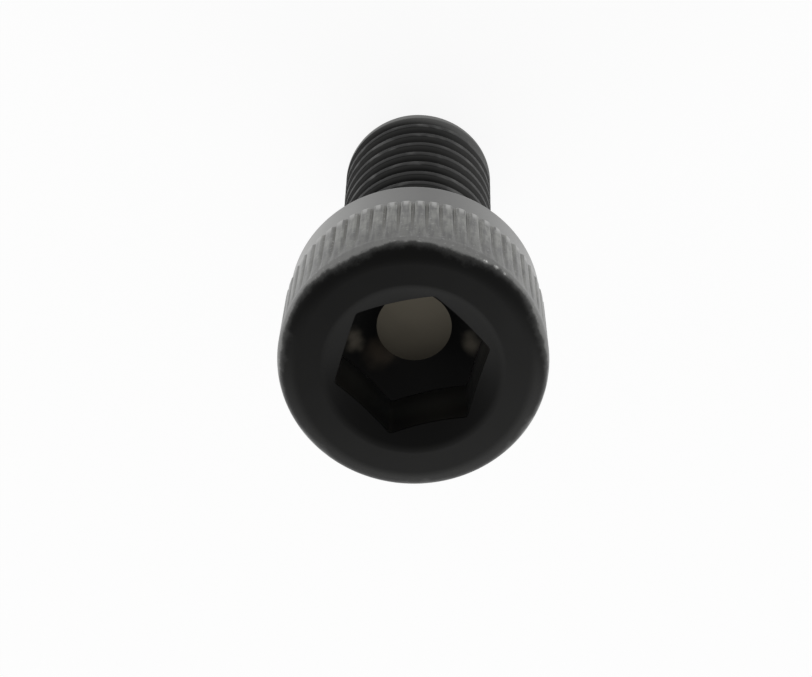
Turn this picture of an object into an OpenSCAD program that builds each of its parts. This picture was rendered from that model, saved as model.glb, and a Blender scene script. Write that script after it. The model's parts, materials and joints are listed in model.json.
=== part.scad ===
// Clamp screw: a hexagon-socket cap screw with a straight-knurled head.
// It stands on its tip. The axis is Z, the origin is the middle of the tip's end face,
// and the socket opens upwards.

/* [Head] */
// Diameter next to the socket face, over the ridges of the knurl
head_d = 10; // [8.5:0.1:13]
// Height from the bearing face to the socket face
head_h = 6; // [5:0.1:9]
// How much the radius shrinks from the socket face's edge to the far end of the ridges
head_taper = 0.08; // [0:0.01:0.2]
// Rounding of the edge around the socket face
face_edge_r = 0.75; // [0.1:0.05:0.8]
// Rounding of the edge around the bearing face
bearing_edge_r = 0.12; // [0.05:0.01:0.4]

/* [Knurl] */
// Number of ridges around the head
knurl_count = 59; // [40:1:72]
// Angle from X to the first groove
knurl_turn = 0.5; // [0:0.1:9]
// Distance from the socket face to the start of the grooves
knurl_from_face = 0.8; // [0.8:0.05:1.5]
// Length of the ridges along the head
knurl_l = 3.45; // [2:0.05:3.6]
// Width of a groove at its open side, at the deep end
groove_w = 0.24; // [0.1:0.02:0.34]
// Depth of a groove at its deep end, next to the smooth band
groove_depth = 0.13; // [0.08:0.01:0.3]
// Height of the ridges over the smooth band below them
ridge_h = 0.16; // [0.04:0.01:0.2]

/* [Socket] */
// Width across the flats of the hexagon
key_w = 5; // [4:0.5:6]
// Depth from the socket face to the flat floor
socket_depth = 3.74; // [2.5:0.02:4]
// Diameter of the flat floor
floor_d = 2.82; // [1.5:0.02:3.6]
// Full angle of the cone between the floor and the hexagon's walls
floor_angle = 120; // [100:1:150]
// Diameter of the countersink at the socket's mouth
mouth_d = 6.5; // [5:0.1:7.6]
// Full angle of the countersink
mouth_angle = 120; // [90:1:140]

/* [Shank] */
// Diameter over the thread's crests
shank_d = 6; // [5:0.1:7]
// Length from the bearing face to the tip
shank_l = 12; // [8:0.5:40]
// Height of the chamfer at the tip
tip_chamfer_h = 0.3; // [0.2:0.05:1]
// Angle of the chamfer, measured from the end face
tip_chamfer_angle = 45; // [30:1:60]
// Fillet where the shank meets the bearing face
neck_fillet_r = 0.25; // [0.1:0.05:0.4]

/* [Hidden] */
$fn = 96;

// How far a cutter reaches past the surface that it opens
reach = 1;

face_z = shank_l + head_h;
ridge_r = head_d / 2;
ridge_end_r = ridge_r - head_taper;
band_r = ridge_end_r - ridge_h;
band_h = head_h - knurl_from_face - knurl_l;
shank_r = shank_d / 2;
tip_r = shank_r - tip_chamfer_h / tan(tip_chamfer_angle);

// A groove leans outwards, so that it runs out at the end next to the socket face
groove_lean = atan((groove_depth + head_taper) / knurl_l);
groove_half_angle = atan(groove_w / 2 / groove_depth);

hexagon_sides = 6;
key_corner_d = key_w / cos(180 / hexagon_sides);

// Cuts a corner of a half section down to a rounding, with the corner at the origin
// and the material towards -X and -Y
module rounding(radius) {
    translate([-radius, -radius])
        difference() {
            square(radius + reach);
            circle(radius);
        }
}

// Half section of the shank, with its chamfered tip and the fillet under the head
module shank_section() {
    polygon([
        [0, 0],
        [tip_r, 0],
        [shank_r, tip_chamfer_h],
        [shank_r, shank_l],
        [0, shank_l]
    ]);
    translate([shank_r, shank_l - neck_fillet_r])
        difference() {
            square(neck_fillet_r);
            translate([neck_fillet_r, 0])
                circle(neck_fillet_r);
        }
}

// Half section of the head: a smooth band next to the bearing face, a short slope up
// to the ridges, a slight taper and a rounded edge around the socket face
module head_section() {
    translate([0, shank_l])
        difference() {
            polygon([
                [0, 0],
                [band_r, 0],
                [band_r, band_h - ridge_h],
                [ridge_end_r, band_h],
                [ridge_r, head_h - face_edge_r],
                [ridge_r, head_h],
                [0, head_h]
            ]);
            translate([ridge_r, head_h])
                rounding(face_edge_r);
            translate([band_r, 0])
                mirror([0, 1])
                    rounding(bearing_edge_r);
        }
}

// One groove of the knurl, a V that is deepest next to the smooth band
module groove() {
    flank_w = (groove_depth + reach) * tan(groove_half_angle);
    translate([ridge_end_r - groove_depth, 0, shank_l + band_h - ridge_h])
        rotate([0, groove_lean, 0])
            linear_extrude(knurl_l + ridge_h)
                polygon([
                    [0, 0],
                    [groove_depth + reach, -flank_w],
                    [groove_depth + reach, flank_w]
                ]);
}

module knurl() {
    for (i = [0 : knurl_count - 1])
        rotate([0, 0, knurl_turn + i * 360 / knurl_count])
            groove();
}

// The space that the key enters: a hexagon with a cone and a flat floor at its end,
// and a countersink at its mouth
module socket() {
    corner_r = key_corner_d / 2;
    floor_r = floor_d / 2;
    mouth_r = mouth_d / 2;
    cone_h = (corner_r - floor_r) / tan(floor_angle / 2);
    mouth_h = mouth_r / tan(mouth_angle / 2);
    translate([0, 0, face_z]) {
        intersection() {
            translate([0, 0, -socket_depth])
                cylinder(d = key_corner_d, h = socket_depth + reach, $fn = hexagon_sides);
            rotate_extrude()
                polygon([
                    [0, -socket_depth],
                    [floor_r, -socket_depth],
                    [corner_r, cone_h - socket_depth],
                    [corner_r, reach],
                    [0, reach]
                ]);
        }
        rotate_extrude()
            polygon([
                [0, -mouth_h],
                [mouth_r, 0],
                [mouth_r, reach],
                [0, reach]
            ]);
    }
}

module clamp_screw() {
    color("dimgray")
        difference() {
            rotate_extrude() {
                shank_section();
                head_section();
            }
            knurl();
            socket();
        }
}

clamp_screw();
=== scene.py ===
"""Looks of the clamp screw: its threaded, knurled and socketed steel, the oxide on it and a white studio."""

import json
import math
from types import SimpleNamespace

import bpy
from mathutils import Matrix, Vector


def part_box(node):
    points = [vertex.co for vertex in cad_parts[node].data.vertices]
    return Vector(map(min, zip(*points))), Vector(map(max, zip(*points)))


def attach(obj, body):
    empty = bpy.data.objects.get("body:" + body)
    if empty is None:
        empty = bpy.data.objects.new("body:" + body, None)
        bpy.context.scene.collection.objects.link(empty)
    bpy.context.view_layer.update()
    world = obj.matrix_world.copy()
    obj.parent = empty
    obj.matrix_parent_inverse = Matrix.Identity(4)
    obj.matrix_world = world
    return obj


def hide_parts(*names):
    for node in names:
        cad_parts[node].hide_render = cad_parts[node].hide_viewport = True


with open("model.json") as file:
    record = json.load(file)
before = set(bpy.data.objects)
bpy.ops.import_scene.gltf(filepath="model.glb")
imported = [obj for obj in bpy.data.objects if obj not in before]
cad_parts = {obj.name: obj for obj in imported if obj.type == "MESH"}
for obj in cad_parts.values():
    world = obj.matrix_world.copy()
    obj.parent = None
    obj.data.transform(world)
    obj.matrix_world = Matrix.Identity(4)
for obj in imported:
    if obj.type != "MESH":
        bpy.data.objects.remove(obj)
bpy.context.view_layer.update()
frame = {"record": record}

# The screw is modelled in millimetres and brought to metres at the end
MM = 0.001
MOUNTS = {mount["name"]: mount for mount in frame["record"]["mounts"]}
SCREW_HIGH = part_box("clamp_screw")[1]
FACE_Z = SCREW_HIGH.z / MM
BEARING_Z = MOUNTS["bearing_face"]["pos_m"][2] / MM
RIDGE_R = SCREW_HIGH.x / MM
SHANK_R = MOUNTS["thread"]["dims"]["r_mm"]

# Points closer together than WELD become one
WELD = 0.0005
# How far a supporting ring of points lies from an edge
SUPPORT = 0.05
# How far a cutter reaches past the surface that it opens
REACH = 0.5
# Edges that turn more than this stay crisp
SHARP_ANGLE = math.radians(25)

# Head: a slight taper, a rounded edge around the socket face and a smooth band next to the bearing face
HEAD_TAPER = 0.08
RIDGE_H = 0.16
RIDGE_END_R = RIDGE_R - HEAD_TAPER
BAND_R = RIDGE_END_R - RIDGE_H
FACE_EDGE_R = 0.75
BEARING_EDGE_R = 0.12
NECK_FILLET_R = 0.25
EDGE_STEPS = 10

# Knurl: ridges whose grooves run out towards the socket face; their ends are measured down from that face
KNURL_COUNT = 59
KNURL_TURN = math.radians(0.5)
KNURL_TOP = 0.8
RIDGE_DROP = 4.15
KNURL_BOTTOM = 4.46
GROOVE_DEPTH = 0.13
# Share of a ridge's width that stays uncut, and the powers that shape a groove across and along the ridge
RIDGE_FLAT = 0.55
GROOVE_SHAPE = 1.1
GROOVE_RUNOUT = 0.6
# Points across one ridge, and rings of points along it and along its sloping end
KNURL_COLUMNS = 12
KNURL_RINGS = 12
RIDGE_END_RINGS = 5

# Socket, whose hexagon has a little play around the key and sits slightly off the axis
KEY_W = 5.1
KEY_OFF_AXIS = (0.015, -0.09, 0)
KEY_CORNER_R = 0.12
SOCKET_DEPTH = 3.74
FLOOR_R = 1.41
MOUTH_R = 3.25
MOUTH_BLEND = 0.12
SOCKET_STEPS = 192
# Full angles of the cone at the floor and of the countersink, and how steep both are
FLOOR_ANGLE = math.radians(120)
MOUTH_ANGLE = math.radians(120)
FLOOR_SLOPE = 1 / math.tan(FLOOR_ANGLE / 2)
MOUTH_SLOPE = 1 / math.tan(MOUTH_ANGLE / 2)

# Thread, right-handed and rolled, with rounded crests and roots
PITCH = 1.0
CREST_INSET = 0.03
CREST_R = SHANK_R - CREST_INSET
CREST_FLAT = 0.28
CREST_ARC_R = 0.06
ROOT_ARC_R = 0.06
# Height at which the middle of a root passes the X axis
THREAD_START = 0.185
# Angle between a flank and the axis, in degrees
FLANK_LEAN = 60
THREAD_ARC_STEPS = 4
THREAD_STEPS = 128

# Ends of the shank: a chamfered tip, and a plain neck at which the thread runs out
TIP_R = 2.7
TIP_CHAMFER_ANGLE = math.radians(45)
NECK_INSET = 0.07
NECK_R = SHANK_R - NECK_INSET
NECK_L = 0.6
RUNOUT_ANGLE = math.radians(40)
# How far the shank reaches into the head
SHANK_OVERLAP = 0.2

# The oxide is streaked along the ridges. Painted sheen and shade vary along the camera's horizontal axis,
# which is turned from X
STREAK_SCALE = (7.0, 7.0, 0.85)
SHEEN_TURN = math.radians(-15.5)
# The rubbed side of the head ends in waves, at this depth below the socket face
RUBBED_DEPTH = 0.4
EDGE_WAVES = 7
EDGE_WAVE_H = 0.08
EDGE_WAVE_TURN = math.radians(260)
# Painted glints on the edge around the socket face: how far round its rounding they lie, and where around
# the axis
EDGE_GLINT_R = 0.11
EDGE_GLINT_TILT = math.radians(66)
EDGE_GLINT_TURNS = [math.radians(angle) for angle in (214.0, 218.8, 223.8, 224.6)]
# Painted reflections on the socket's cone, with how strong they are, and a smear of oil
CONE_REFLECTIONS = {(2.16, -0.18, 14.8): 1.0, (-1.84, 0.87, 14.8): 0.65}
CONE_REFLECTION_R = 0.6
OIL_SMEAR = (1.53, 0.66, 14.41)
OIL_SMEAR_R = 0.9

# Tones of the steel: one level is a grey, three are red, green and blue
TONE = SimpleNamespace(
    face_dark=0.0118,
    # painted reflection: the face lighter towards one side
    face_sheen=0.0216,
    # painted shade in the countersink
    countersink=0.0118,
    band_middle=0.135,
    # painted sheen: the band lighter towards both sides of the camera's horizontal axis
    band_sheen=0.33,
    ridge_dark=0.1,
    ridge_light=(0.2, 0.202, 0.188),
    # painted sheen on the ridges at the far sides of the camera's horizontal axis
    ridge_sheen=0.25,
    # the ridges darker towards the socket face
    ridge_near_face=0.045,
    # painted highlight on the ridge ends
    ridge_end_glint=0.31,
    rubbed_edge=0.18,
    # oxide left in the grooves, with painted shade in them
    groove_oxide_and_shade=(0.076, 0.075, 0.066),
    # painted glints: light flecks on the ridges
    glint_fleck=0.3,
    # painted glints on the edge around the socket face
    edge_glint=0.6,
    flank_dark=0.016,
    # painted shade under the head and painted light towards the tip, on the flanks
    flank_light=0.032,
    # painted sheen on the flanks at both sides of the camera's horizontal axis
    flank_sheen=0.05,
    # painted highlight that spreads the crests' light onto the flanks
    flank_edge_sheen=0.065,
    crest_dark=0.012,
    # painted highlight on the crests towards the head
    crest_highlight=0.14,
    # spots on the crests, partly wear and partly painted glints
    crest_wear_and_glint=0.085,
    # painted sheen on one side of the thread
    thread_sheen_side=0.11,
    # painted reflection on the tip's chamfer
    tip=0.19,
    # painted light on the socket walls, more of it deeper down, against the shade inside
    wall_mouth=0.085,
    wall_deep=0.2,
    cone=0.0115,
    smear=(0.05, 0.041, 0.032),
    # painted reflections on the socket's cone
    cone_reflection=(0.15, 0.134, 0.108),
    floor=(0.1, 0.09, 0.071),
)
# Share of blue in a grey, which makes it a little warm
GREY_BLUE = 0.98
# Roughness of the oxide, and how much smoother it is where rubbed and rougher on the thread
ROUGHNESS = 0.38
POLISH = 0.12
# Height of its grain, in metres
GRAIN_H = 0.000003

# Studio, in metres: a round sheet of white paper whose edge turns up, and two soft lamps
PAPER_R = 0.9
PAPER_BEND_R = 0.3
PAPER_BEND_STEPS = 12
PAPER_STEPS = 96
PAPER_TONE = 0.95
PAPER_WHITE = 0.9
LAMP_TURNS = {"left_lamp": math.radians(44), "right_lamp": math.radians(105)}
LAMP_RISE = math.radians(25)
LAMP_DISTANCE = 1.3
LAMP_SIZE = 1.6
LAMP_POWER = 10.5
SKY = 0.48

# Camera: it looks down on the socket, upside down, so that the tip is at the top of the picture
VIEW_TILT = math.radians(25.54)
VIEW_TURN = math.radians(-15.5)
VIEW_ROLL = 0.0334
VIEW_DISTANCE = 120.0
VIEW_FOCAL_PX = 3286.2
PICTURE_W = 812
SENSOR_W = 36
# The middle of the socket face is seen this far to the right of the picture's middle and above it
AIM_RIGHT = 0.2532
AIM_UP = -1.1535


def edit(piece):
    """Leaves the piece alone in edit mode with everything on it selected."""
    bpy.ops.object.select_all(action="DESELECT")
    piece.select_set(True)
    bpy.context.view_layer.objects.active = piece
    bpy.ops.object.mode_set(mode="EDIT")
    bpy.ops.mesh.select_all(action="SELECT")


def done():
    """Leaves edit mode."""
    bpy.ops.object.mode_set(mode="OBJECT")


def pick_points(piece, wanted):
    """Leaves the piece in edit mode with only those points selected whose place passes the test."""
    edit(piece)
    bpy.ops.mesh.select_all(action="DESELECT")
    done()
    for point in piece.data.vertices:
        point.select = wanted(point.co)
    bpy.ops.object.mode_set(mode="EDIT")


def drawn(name, section):
    """A line of edges in the XZ plane, drawn point by point from (radius, height) pairs."""
    bpy.ops.object.select_all(action="DESELECT")
    bpy.ops.mesh.primitive_plane_add(size=1)
    line = bpy.context.object
    line.name = name
    edit(line)
    bpy.ops.mesh.merge(type="CENTER")
    last = (0.0, 0.0)
    for number, (radius, height) in enumerate(section):
        step = (radius - last[0], 0, height - last[1])
        if number == 0:
            bpy.ops.transform.translate(value=step)
        else:
            bpy.ops.mesh.extrude_vertices_move(TRANSFORM_OT_translate={"value": step})
        last = (radius, height)
    done()
    return line


def weld(piece):
    """Joins points that lie on each other and points every face outwards."""
    edit(piece)
    bpy.ops.mesh.remove_doubles(threshold=WELD)
    bpy.ops.mesh.normals_make_consistent(inside=False)
    done()


def turned(name, section, steps):
    """A solid of revolution about Z."""
    piece = drawn(name, section)
    edit(piece)
    bpy.ops.mesh.spin(steps=steps, angle=math.tau, center=(0, 0, 0), axis=(0, 0, 1))
    done()
    weld(piece)
    return piece


def combine(piece, tool, operation):
    """Adds the tool to the piece, cuts it out of it or keeps what both share, and removes the tool."""
    bpy.ops.object.select_all(action="DESELECT")
    bpy.context.view_layer.objects.active = piece
    piece.select_set(True)
    boolean = piece.modifiers.new(operation.lower(), "BOOLEAN")
    boolean.operation = operation
    boolean.solver = "EXACT"
    boolean.object = tool
    bpy.ops.object.modifier_apply(modifier=boolean.name)
    bpy.data.objects.remove(tool)


def arc(middle, radius, start, end, steps):
    """Points on an arc from one angle to another, in degrees."""
    angles = [math.radians(start + (end - start) * step / steps) for step in range(steps + 1)]
    return [(middle[0] + radius * math.cos(a), middle[1] + radius * math.sin(a)) for a in angles]


def knurl_rings():
    """Radius, height and groove depth of each ring of points along the ridges, from the face to the band."""
    rings = []
    for ring in range(KNURL_RINGS + 1):
        share = ring / KNURL_RINGS
        below = KNURL_TOP + (RIDGE_DROP - KNURL_TOP) * share
        taper = (below - FACE_EDGE_R) / (RIDGE_DROP - FACE_EDGE_R)
        radius = RIDGE_R + (RIDGE_END_R - RIDGE_R) * taper
        rings.append((radius, FACE_Z - below, GROOVE_DEPTH * share**GROOVE_RUNOUT))
    for ring in range(1, RIDGE_END_RINGS + 1):
        share = ring / RIDGE_END_RINGS
        below = RIDGE_DROP + (KNURL_BOTTOM - RIDGE_DROP) * share
        radius = RIDGE_END_R + (BAND_R - RIDGE_END_R) * share**2
        groove_r = RIDGE_END_R - GROOVE_DEPTH + (BAND_R - RIDGE_END_R + GROOVE_DEPTH) * share
        rings.append((radius, FACE_Z - below, max(0.0, radius - groove_r)))
    return rings


def head_section():
    """Half section of head and neck, from the middle of the socket face to the axis inside the shank."""
    face_edge = RIDGE_R - FACE_EDGE_R
    bearing_edge = BAND_R - BEARING_EDGE_R
    fillet_edge = NECK_R + NECK_FILLET_R
    neck_low = BEARING_Z - NECK_FILLET_R - NECK_L
    runout_r = min(radius for radius, height in thread_section()) - SUPPORT
    runout_low = neck_low - (NECK_R - runout_r) / math.tan(RUNOUT_ANGLE)
    points = [(0, FACE_Z), (MOUTH_R + 4 * SUPPORT, FACE_Z), (face_edge - SUPPORT, FACE_Z)]
    points += arc((face_edge, FACE_Z - FACE_EDGE_R), FACE_EDGE_R, 90, 0, EDGE_STEPS)
    points += [(radius, height) for radius, height, depth in knurl_rings()]
    points += [(BAND_R, FACE_Z - KNURL_BOTTOM - SUPPORT), (BAND_R, BEARING_Z + BEARING_EDGE_R + SUPPORT)]
    points += arc((bearing_edge, BEARING_Z + BEARING_EDGE_R), BEARING_EDGE_R, 0, -90, EDGE_STEPS)
    points += [(bearing_edge - SUPPORT, BEARING_Z), (fillet_edge + SUPPORT, BEARING_Z)]
    points += arc((fillet_edge, BEARING_Z - NECK_FILLET_R), NECK_FILLET_R, 90, 180, EDGE_STEPS)
    points += [(NECK_R, neck_low), (runout_r, runout_low), (0, runout_low)]
    return points


def press_grooves(tooth):
    """Presses half a groove into each side of one ridge, ring by ring and column by column."""
    column_angle = math.tau / KNURL_COUNT / KNURL_COLUMNS
    for radius, height, depth in knurl_rings():
        for column in range(KNURL_COLUMNS // 2):
            across = 1 - 2 * column / KNURL_COLUMNS
            press = depth * max(0.0, (across - RIDGE_FLAT) / (1 - RIDGE_FLAT)) ** GROOVE_SHAPE
            if press < WELD:
                continue
            sides = (column, KNURL_COLUMNS - column)

            def on_column(place):
                nearest = abs(math.atan2(place.y, place.x)) / column_angle
                return abs(place.z - height) < WELD and round(nearest) in sides

            pick_points(tooth, on_column)
            shrink = 1 - press / radius
            bpy.ops.transform.resize(value=(shrink, shrink, 1), center_override=(0, 0, 0))
            done()


def head_blank():
    """The head without its socket: one ridge of the knurl from top to bottom, repeated around the axis."""
    others = KNURL_COUNT - 1
    around = {"center": (0, 0, 0), "axis": (0, 0, 1)}
    tooth = drawn("head", head_section())
    edit(tooth)
    bpy.ops.mesh.spin(steps=KNURL_COLUMNS, angle=math.tau / KNURL_COUNT, **around)
    done()
    weld(tooth)
    press_grooves(tooth)
    edit(tooth)
    bpy.ops.mesh.spin(steps=others, dupli=True, angle=math.tau * others / KNURL_COUNT, **around)
    bpy.ops.mesh.select_all(action="SELECT")
    bpy.ops.transform.rotate(value=-KNURL_TURN, orient_axis="Z", center_override=(0, 0, 0))
    done()
    weld(tooth)
    return tooth


def key_punch():
    """The hexagon that forms the socket, with slightly rounded corners and a blunt cone at its end."""
    corner_r = KEY_W / 2 / math.cos(math.pi / 6)
    floor_z = FACE_Z - SOCKET_DEPTH
    height = SOCKET_DEPTH + 2 * REACH
    middle = (0, 0, floor_z - SUPPORT + height / 2)
    bpy.ops.object.select_all(action="DESELECT")
    bpy.ops.mesh.primitive_cylinder_add(vertices=6, radius=corner_r, depth=height, location=middle)
    punch = bpy.context.object
    bpy.ops.object.transform_apply(location=True)
    edit(punch)
    bpy.ops.transform.rotate(value=math.pi / 6, orient_axis="Z", center_override=(0, 0, 0))
    bpy.ops.transform.translate(value=KEY_OFF_AXIS)
    bpy.ops.mesh.select_all(action="DESELECT")
    done()
    for line in punch.data.edges:
        ends = [punch.data.vertices[end].co.z for end in line.vertices]
        line.select = abs(ends[0] - ends[1]) > height / 2
    bpy.ops.object.mode_set(mode="EDIT")
    bpy.ops.mesh.select_mode(type="EDGE")
    bpy.ops.mesh.bevel(offset=KEY_CORNER_R, segments=3, affect="EDGES")
    bpy.ops.mesh.select_mode(type="VERT")
    done()
    cone_r = corner_r + 4 * SUPPORT
    cone_top = floor_z + (cone_r - FLOOR_R) * FLOOR_SLOPE
    top = FACE_Z + REACH
    end_section = [(0, floor_z), (FLOOR_R, floor_z), (cone_r, cone_top), (cone_r, top), (0, top)]
    combine(punch, turned("floor_end", end_section, SOCKET_STEPS), "INTERSECT")
    return punch


def mouth_cone():
    """The countersink at the socket's mouth, with its outer edge broken by a cone of half its slope."""
    over = 4 * SUPPORT
    top = FACE_Z + over * MOUTH_SLOPE / 2
    section = [(0, FACE_Z - MOUTH_R * MOUTH_SLOPE)]
    section += [(MOUTH_R - MOUTH_BLEND, FACE_Z - MOUTH_BLEND * MOUTH_SLOPE)]
    section += [(MOUTH_R + MOUTH_BLEND + over, top), (0, top)]
    return turned("mouth", section, SOCKET_STEPS)


def thread_section():
    """One pitch of the thread, from the middle of one root to the middle of the next."""
    lean = math.radians(FLANK_LEAN)
    arcs_r = CREST_ARC_R + ROOT_ARC_R
    crest_z = (PITCH - CREST_FLAT) / 2
    flank_r = (crest_z - arcs_r * math.sin(lean)) * math.tan(lean)
    root_r = CREST_R - flank_r - arcs_r * (1 - math.cos(lean))
    rising = arc((root_r + ROOT_ARC_R, 0), ROOT_ARC_R, 180, 180 - FLANK_LEAN, THREAD_ARC_STEPS)
    rising += arc((CREST_R - CREST_ARC_R, crest_z), CREST_ARC_R, -FLANK_LEAN, 0, THREAD_ARC_STEPS)
    falling = [(radius, PITCH - height) for radius, height in reversed(rising)]
    return rising + falling


def threaded_shank():
    """The thread as a helix, cut off flat inside the head and chamfered at the tip."""
    low, high = -PITCH, BEARING_Z + SHANK_OVERLAP
    start = THREAD_START - 3 * PITCH
    shank = drawn("shank", [(radius, height + start) for radius, height in thread_section()])
    helix = shank.modifiers.new("helix", "SCREW")
    helix.axis = "Z"
    helix.angle = math.tau
    helix.screw_offset = PITCH
    helix.iterations = math.ceil((high - start) / PITCH) + 1
    helix.steps = THREAD_STEPS
    helix.render_steps = THREAD_STEPS
    bpy.ops.object.modifier_apply(modifier=helix.name)
    edit(shank)
    bpy.ops.mesh.remove_doubles(threshold=WELD)
    for height, normal in ((low, -1), (high, 1)):
        bpy.ops.mesh.select_all(action="SELECT")
        cut = {"plane_co": (0, 0, height), "plane_no": (0, 0, normal)}
        bpy.ops.mesh.bisect(use_fill=True, clear_outer=True, **cut)
    done()
    weld(shank)
    outer_r = SHANK_R + SUPPORT
    chamfer_top = (outer_r - TIP_R) * math.tan(TIP_CHAMFER_ANGLE)
    top = high + REACH
    outline = [(0, 0), (TIP_R, 0), (outer_r, chamfer_top), (outer_r, top), (0, top)]
    combine(shank, turned("outline", outline, SOCKET_STEPS), "INTERSECT")
    return shank


def on_knurl(place):
    """Whether a place is on the head's side above the smooth band."""
    above_band = place.z > FACE_Z - KNURL_BOTTOM - SUPPORT / 2
    return above_band and math.hypot(place.x, place.y) > BAND_R - 4 * SUPPORT


def clamp_screw():
    """The whole screw, one closed piece, with soft ridges and crisp edges elsewhere."""
    screw = head_blank()
    combine(screw, key_punch(), "DIFFERENCE")
    combine(screw, mouth_cone(), "DIFFERENCE")
    combine(screw, threaded_shank(), "UNION")
    screw.name = "clamp_screw_steel"
    screw.data.name = "clamp_screw_steel"
    weld(screw)
    bpy.ops.object.shade_smooth_by_angle(angle=SHARP_ANGLE)
    pick_points(screw, on_knurl)
    bpy.ops.mesh.mark_sharp(clear=True)
    bpy.ops.mesh.select_all(action="SELECT")
    bpy.ops.transform.resize(value=(MM, MM, MM), center_override=(0, 0, 0))
    done()
    return screw


class Wire:
    """A shader socket that takes part in Python expressions, each of which adds a Math node."""

    def __init__(self, socket):
        self.socket = socket

    @classmethod
    def node(cls, tree, kind, settings=None, sockets=None, output=0):
        """Adds any node from its type, its settings and the values or links of its sockets."""
        made = tree.nodes.new(kind)
        for name, setting in (settings or {}).items():
            setattr(made, name, setting)
        for name, value in (sockets or {}).items():
            if isinstance(value, cls):
                tree.links.new(value.socket, made.inputs[name])
            else:
                made.inputs[name].default_value = value
        return cls(made.outputs[output]) if made.outputs else None

    def math(self, operation, *others):
        values = dict(enumerate((self, *others)))
        return Wire.node(self.socket.id_data, "ShaderNodeMath", {"operation": operation}, values)

    def __add__(self, other):
        return self.math("ADD", other)

    def __sub__(self, other):
        return self.math("SUBTRACT", other)

    def __rsub__(self, other):
        return (self * -1) + other

    def __mul__(self, other):
        return self.math("MULTIPLY", other)

    def __pow__(self, other):
        return self.math("POWER", other)

    __radd__ = __add__
    __rmul__ = __mul__


def ramp(value, low, high):
    """Rises smoothly from 0 to 1 as the value goes from low to high, or falls where high comes first."""
    settings = {"interpolation_type": "SMOOTHSTEP"}
    sockets = {"Value": value, "From Min": min(low, high), "From Max": max(low, high)}
    sockets["To Min"], sockets["To Max"] = (0.0, 1.0) if low < high else (1.0, 0.0)
    return Wire.node(value.socket.id_data, "ShaderNodeMapRange", settings, sockets)


def noise(place, scale, detail=2.0):
    """Even noise from 0 to 1, with its scale in grains per millimetre."""
    sockets = {"Vector": place, "Scale": scale, "Detail": detail}
    return Wire.node(place.socket.id_data, "ShaderNodeTexNoise", {"noise_dimensions": "3D"}, sockets)


def shade(tone):
    """A tone as a colour with alpha."""
    red, green, blue = tone if isinstance(tone, tuple) else (tone, tone, GREY_BLUE * tone)
    return (red, green, blue, 1)


def tinted(below, above, share):
    """A colour between two others, each of which is a wire or a tone."""
    below, above = (end if isinstance(end, Wire) else shade(end) for end in (below, above))
    sockets = {"Factor": share, 6: below, 7: above}
    return Wire.node(share.socket.id_data, "ShaderNodeMix", {"data_type": "RGBA"}, sockets, output=2)


def vector_maths(operation, place, sockets, output="Vector"):
    """What a Vector Math node makes of a place."""
    tree, settings = place.socket.id_data, {"operation": operation}
    return Wire.node(tree, "ShaderNodeVectorMath", settings, {0: place, **sockets}, output)


def away_from(place, *centres):
    """Distance to the nearest of the given places."""
    nearest = None
    for centre in centres:
        away = vector_maths("DISTANCE", place, {1: centre}, output="Value")
        nearest = away if nearest is None else nearest.math("MINIMUM", away)
    return nearest


def steel_fields(tree):
    """Where a point of the steel lies, in millimetres, and the noises that vary the oxide and the painted
    light on it.
    """
    at = SimpleNamespace()
    in_metres = Wire.node(tree, "ShaderNodeTexCoord", output="Object")
    at.place = vector_maths("SCALE", in_metres, {"Scale": 1 / MM})
    at.east, at.north, at.height = (
        Wire.node(tree, "ShaderNodeSeparateXYZ", sockets={"Vector": at.place}, output=axis) for axis in "XYZ"
    )
    at.depth = FACE_Z - at.height
    # across runs along the axis of the painted sheen and shade
    at.across = at.east * math.cos(SHEEN_TURN) + at.north * math.sin(SHEEN_TURN)
    at.radius = (at.east * at.east + at.north * at.north) ** 0.5
    at.turn = at.north.math("ARCTAN2", at.east)
    at.cloud = noise(at.place, 0.7, 3.0)
    at.blot = noise(at.place, 1.6, 1.0)
    at.patch = noise(at.place, 2.6, 3.0)
    at.glint_fleck = noise(at.place, 9.0)
    at.grain = noise(at.place, 16.0)
    at.streak = noise(vector_maths("MULTIPLY", at.place, {1: STREAK_SCALE}), 1.0, 3.0)
    return at


def side_share(at):
    """The head's side, where the oxide is rubbed thin, with a ragged end around the socket face."""
    waves = EDGE_WAVE_H * ((at.turn - EDGE_WAVE_TURN) * EDGE_WAVES).math("COSINE")
    ragged = at.depth - RUBBED_DEPTH - waves + 0.3 * (at.patch - 0.5) + 0.08 * (at.grain - 0.5)
    rubbed = 0.78 * ramp(ragged, -0.07, 0.09) + 0.22 * ramp(ragged, -0.26, -0.05)
    off_face = ramp(at.radius, RIDGE_R - 0.8, RIDGE_R - 0.6)
    off_bearing = ramp(at.height, BEARING_Z, BEARING_Z + 0.1)
    return rubbed * off_face * off_bearing


def thread_share(at):
    """The shank below the head."""
    return ramp(at.radius, SHANK_R + 0.3, SHANK_R + 0.1) * ramp(at.height, BEARING_Z, BEARING_Z - 0.3)


def socket_share(at):
    """The inside of the socket below its countersink."""
    below_mouth = at.depth - (MOUTH_R - at.radius) * MOUTH_SLOPE
    inside = ramp(at.radius, MOUTH_R - 0.05, MOUTH_R - 0.1)
    above_shank = ramp(at.depth, SOCKET_DEPTH + 0.4, SOCKET_DEPTH + 0.2)
    return inside * above_shank * ramp(below_mouth, 0.02, 0.1)


def floor_share(at):
    """The flat floor of the socket."""
    inside = ramp(at.radius, FLOOR_R + 0.01, FLOOR_R - 0.01)
    return inside * ramp(at.depth, SOCKET_DEPTH - 0.2, SOCKET_DEPTH - 0.05)


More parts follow.
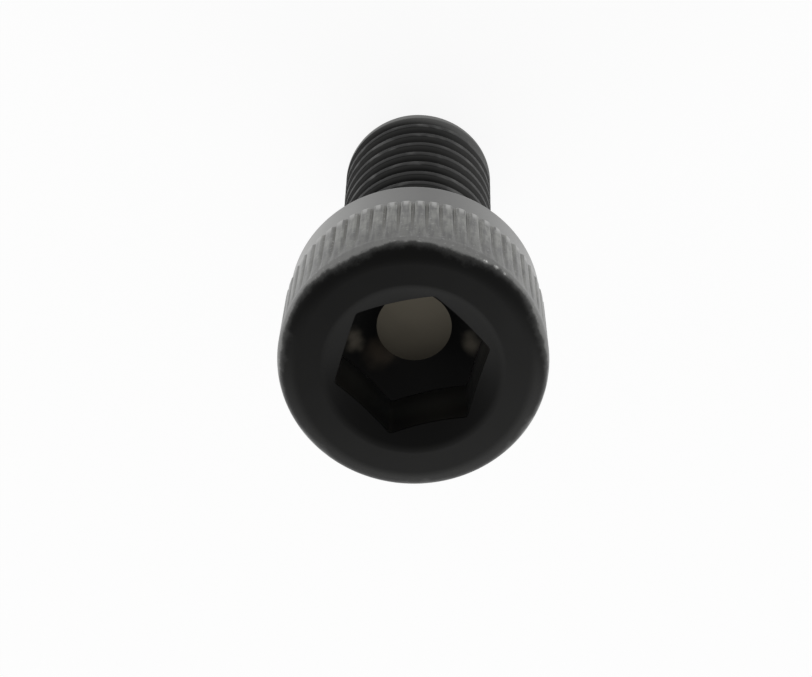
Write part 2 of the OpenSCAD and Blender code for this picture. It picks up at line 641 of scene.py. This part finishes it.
def edge_glints(at):
    """Small painted glints on the edge around the socket face."""
    out = RIDGE_R - FACE_EDGE_R + FACE_EDGE_R * math.sin(EDGE_GLINT_TILT)
    height = FACE_Z - FACE_EDGE_R + FACE_EDGE_R * math.cos(EDGE_GLINT_TILT)
    places = [(out * math.cos(turn), out * math.sin(turn), height) for turn in EDGE_GLINT_TURNS]
    ragged = 0.2 * (at.patch - 0.5) + 0.2 * (at.grain - 0.5)
    return ramp(away_from(at.place, *places) + ragged, EDGE_GLINT_R, 0.0)


def face_colour(at):
    """Even black oxide, with a painted reflection that makes it a little lighter towards one side and a
    painted shade that makes the countersink darker.
    """
    # painted reflection, lighter towards one side
    sheen_side = ramp(at.north - 0.5 * at.east, -6.0, 6.0)
    # painted shade in the countersink
    shaded_mouth = ramp(at.radius, MOUTH_R + 0.15, MOUTH_R - 0.15)
    face = tinted(TONE.face_dark, TONE.face_sheen, 0.8 * sheen_side + 0.2 * at.cloud)
    return tinted(face, TONE.countersink, shaded_mouth)


def side_colour(at):
    """A smooth band and streaked ridges, with painted sheen towards the sides, darker towards the socket
    face, oxide and painted shade in the grooves, a rubbed edge, and painted glints on flecks, on the ridge
    ends and on the edge.
    """
    wave = ((at.turn - KNURL_TURN) * KNURL_COUNT).math("COSINE")
    # how far out along the sheen axis, which places painted sheen and thins the painted groove shade
    outwards = ((at.across + 0.4) * (1 / RIDGE_R)).math("ABSOLUTE")
    streaks = ramp(0.65 * at.streak + 0.35 * at.patch, 0.37, 0.63)
    far_side_sheen = ramp(outwards, 0.5, 1.0) * ramp(at.depth, 2.0, 3.2)
    towards_face = ramp(at.depth, 3.4, 0.6)
    near_edge = ramp(at.depth, 1.0, 0.4)
    # oxide and painted shade in the grooves, stronger on one side of the sheen axis and weaker towards its
    # ends
    oxide_and_shade = 0.4 + 0.6 * ramp(at.across + 3.0 * (at.cloud - 0.5), -2.4, -0.4)
    oxide_and_shade *= 0.3 + 0.7 * ramp(outwards, 0.9, 0.65)
    grooves = ramp(wave, 0.5, 0.95) * ramp(at.depth, 1.0, 2.6)
    ridges = ramp(wave - 0.7 * ramp(at.east, 0.5, 3.0), -0.1, -0.8)
    ridge_end_glints = ridges * ramp(at.depth, 3.6, 4.1)
    above_band = ramp(at.depth, KNURL_BOTTOM + 0.04, KNURL_BOTTOM - 0.16)
    knurl = tinted(TONE.ridge_dark, TONE.ridge_light, streaks)
    # painted sheen at the far sides
    knurl = tinted(knurl, TONE.ridge_sheen, 0.4 * far_side_sheen)
    # darker towards the socket face
    knurl = tinted(knurl, TONE.ridge_near_face, 0.55 * towards_face)
    knurl = tinted(knurl, TONE.rubbed_edge, 0.9 * near_edge)
    # oxide and painted shade in the grooves
    knurl = tinted(knurl, TONE.groove_oxide_and_shade, oxide_and_shade * grooves)
    # painted glints on light flecks
    knurl = tinted(knurl, TONE.glint_fleck, 0.4 * ramp(at.glint_fleck, 0.62, 0.7))
    # painted highlight on the ridge ends
    knurl = tinted(knurl, TONE.ridge_end_glint, ridge_end_glints)
    # painted glints on the edge
    knurl = tinted(knurl, TONE.edge_glint, edge_glints(at))
    # painted sheen towards the band's sides
    band = tinted(TONE.band_middle, TONE.band_sheen, outwards**1.5)
    return tinted(band, knurl, above_band)


def thread_colour(at):
    """Dark flanks with painted shade under the head and painted light towards the tip and at the sides,
    crests with a painted highlight towards the head and spots that are partly wear and partly painted
    glints, and a painted reflection on the tip.
    """
    # painted light towards the tip, painted shade towards the head
    towards_tip = ramp(at.height, 5.6, 3.4)
    towards_head = ramp(at.height, 7.5, 10.5)
    sheen_sides = ramp(at.across.math("ABSOLUTE"), 1.4, 2.9)
    sheen_side = ramp(at.across, -0.4, -1.8)
    flank_edge_sheen = ramp(at.radius, CREST_R - 0.2, CREST_R - 0.02)
    crest = ramp(at.radius, CREST_R - 0.03, CREST_R - 0.005)
    glint_spots = ramp(0.75 * at.blot + 0.25 * at.patch, 0.48, 0.78)
    tip = ramp(at.height, 0.75, 0.5) * ramp(at.radius, TIP_R, TIP_R + 0.1)
    flank = tinted(TONE.flank_dark, TONE.flank_light, 0.8 * towards_tip + 0.2 * at.patch)
    # painted sheen at both sides
    flank = tinted(flank, TONE.flank_sheen, 0.5 * sheen_sides)
    # painted highlight next to the crests
    flank = tinted(flank, TONE.flank_edge_sheen, 0.8 * flank_edge_sheen)
    # painted highlight on the crests, stronger towards the head
    colour = tinted(flank, tinted(TONE.crest_dark, TONE.crest_highlight, towards_head), crest)
    # spots on the crests, partly wear and partly painted glints
    colour = tinted(colour, TONE.crest_wear_and_glint, crest * glint_spots)
    # painted sheen on one side
    colour = tinted(colour, TONE.thread_sheen_side, 0.28 * sheen_side)
    # painted reflection on the tip
    return tinted(colour, TONE.tip, tip)


def socket_colour(at):
    """Dark walls with painted light against the shade in the socket, a darker cone with painted reflections
    and an oily smear, and a bare, warm floor.
    """
    above_cone = SOCKET_DEPTH - at.depth - (at.radius - FLOOR_R) * FLOOR_SLOPE
    cone = ramp(above_cone, 0.03, 0.01)
    ragged = 0.7 * (at.blot - 0.5) + 0.2 * (at.patch - 0.5)
    smear = ramp(away_from(at.place, OIL_SMEAR) + ragged, OIL_SMEAR_R, 0.0)
    # painted light against the shade in the socket, more of it deeper down
    walls = tinted(TONE.wall_mouth, TONE.wall_deep, ramp(at.depth, 0.8, 2.4))
    colour = tinted(walls, TONE.cone, cone)
    colour = tinted(colour, TONE.smear, smear * cone)
    # painted reflections on the cone
    for mark, reflection_strength in CONE_REFLECTIONS.items():
        glint_spots = ramp(away_from(at.place, mark) + ragged, CONE_REFLECTION_R, 0.0)
        colour = tinted(colour, TONE.cone_reflection, reflection_strength * glint_spots * cone)
    return tinted(colour, TONE.floor, floor_share(at))


def black_oxide():
    """Black oxide on steel: thin on the head's side, darker in the thread with painted shade under the head,
    and bare on the socket's floor.
    """
    material = bpy.data.materials.new("black_oxide")
    material.use_nodes = True
    tree = material.node_tree
    tree.nodes.clear()
    at = steel_fields(tree)
    side, thread = side_share(at), thread_share(at)
    colour = tinted(face_colour(at), side_colour(at), side)
    colour = tinted(colour, thread_colour(at), thread)
    colour = tinted(colour, socket_colour(at), socket_share(at))
    roughness = ROUGHNESS + 0.1 * at.cloud + 0.06 * at.grain + POLISH * (thread - side - floor_share(at))
    grain = {"Height": at.grain, "Strength": 0.5, "Distance": GRAIN_H}
    sockets = {"Base Color": colour, "Metallic": 1.0, "Roughness": roughness}
    sockets["Normal"] = Wire.node(tree, "ShaderNodeBump", sockets=grain)
    steel = Wire.node(tree, "ShaderNodeBsdfPrincipled", sockets=sockets)
    Wire.node(tree, "ShaderNodeOutputMaterial", sockets={"Surface": steel})
    return material


def white_paper():
    """White paper: white to the camera and in the metal, with the shadow that falls on it."""
    material = bpy.data.materials.new("white_paper")
    material.use_nodes = True
    material.cycles.emission_sampling = "NONE"
    tree = material.node_tree
    tree.nodes.clear()
    camera, glossy, transmission = (
        Wire.node(tree, "ShaderNodeLightPath", output="Is " + ray + " Ray")
        for ray in ("Camera", "Glossy", "Transmission")
    )
    seen = camera.math("MAXIMUM", glossy).math("MAXIMUM", transmission)
    tone = (PAPER_TONE, PAPER_TONE, PAPER_TONE, 1)
    paper = Wire.node(tree, "ShaderNodeBsdfDiffuse", sockets={"Color": tone})
    white = Wire.node(tree, "ShaderNodeEmission", sockets={"Color": (1, 1, 1, 1), "Strength": 1.0})
    surface = Wire.node(tree, "ShaderNodeMixShader", sockets={0: seen * PAPER_WHITE, 1: paper, 2: white})
    Wire.node(tree, "ShaderNodeOutputMaterial", sockets={"Surface": surface})
    return material


def paper_sheet():
    """The round sheet that the screw stands on, which is both floor and backdrop."""
    bend = arc((PAPER_R, PAPER_BEND_R), PAPER_BEND_R, -90, -30, PAPER_BEND_STEPS)
    sheet = turned("floor", [(0, 0)] + bend, PAPER_STEPS)
    edit(sheet)
    bpy.ops.mesh.flip_normals()
    done()
    bpy.ops.object.shade_smooth()
    sheet.data.materials.clear()
    sheet.data.materials.append(white_paper())


def add_lamps():
    """Two large round lamps behind the screw that face it."""
    for name, turn in LAMP_TURNS.items():
        level = math.cos(LAMP_RISE)
        towards = Vector((math.cos(turn) * level, math.sin(turn) * level, math.sin(LAMP_RISE)))
        light = bpy.data.lights.new(name, "AREA")
        light.shape = "DISK"
        light.size = LAMP_SIZE
        light.energy = LAMP_POWER
        lamp = bpy.data.objects.new(name, light)
        lamp.location = towards * LAMP_DISTANCE
        lamp.rotation_euler = towards.to_track_quat("Z", "Y").to_euler()
        bpy.context.scene.collection.objects.link(lamp)


def add_sky():
    """Even grey light from all around."""
    world = bpy.data.worlds.new("studio")
    world.use_nodes = True
    world.node_tree.nodes["Background"].inputs["Color"].default_value = (SKY, SKY, SKY, 1)
    bpy.context.scene.world = world


def add_camera():
    """The photograph's view."""
    forward = Vector((0, math.sin(VIEW_TILT), -math.cos(VIEW_TILT)))
    level_up = Vector((0, -math.cos(VIEW_TILT), -math.sin(VIEW_TILT)))
    level_right = forward.cross(level_up)
    right = level_right * math.cos(VIEW_ROLL) + level_up * math.sin(VIEW_ROLL)
    up = level_up * math.cos(VIEW_ROLL) - level_right * math.sin(VIEW_ROLL)
    place = Vector((0, 0, FACE_Z)) - right * AIM_RIGHT - up * AIM_UP - forward * VIEW_DISTANCE
    turn = Matrix.Rotation(VIEW_TURN, 3, "Z")
    axes = Matrix((turn @ right, turn @ up, turn @ -forward)).transposed()
    lens = bpy.data.cameras.new("camera")
    lens.sensor_width = SENSOR_W
    lens.lens = VIEW_FOCAL_PX / PICTURE_W * SENSOR_W
    lens.clip_start = MM
    camera = bpy.data.objects.new("camera", lens)
    camera.matrix_world = Matrix.Translation(turn @ place * MM) @ axes.to_4x4()
    bpy.context.scene.collection.objects.link(camera)
    bpy.context.scene.camera = camera


screw = clamp_screw()
screw.data.materials.clear()
screw.data.materials.append(black_oxide())
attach(screw, "root")
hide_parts("clamp_screw")

paper_sheet()
add_lamps()
add_sky()
add_camera()
bpy.context.scene.view_settings.view_transform = "Standard"
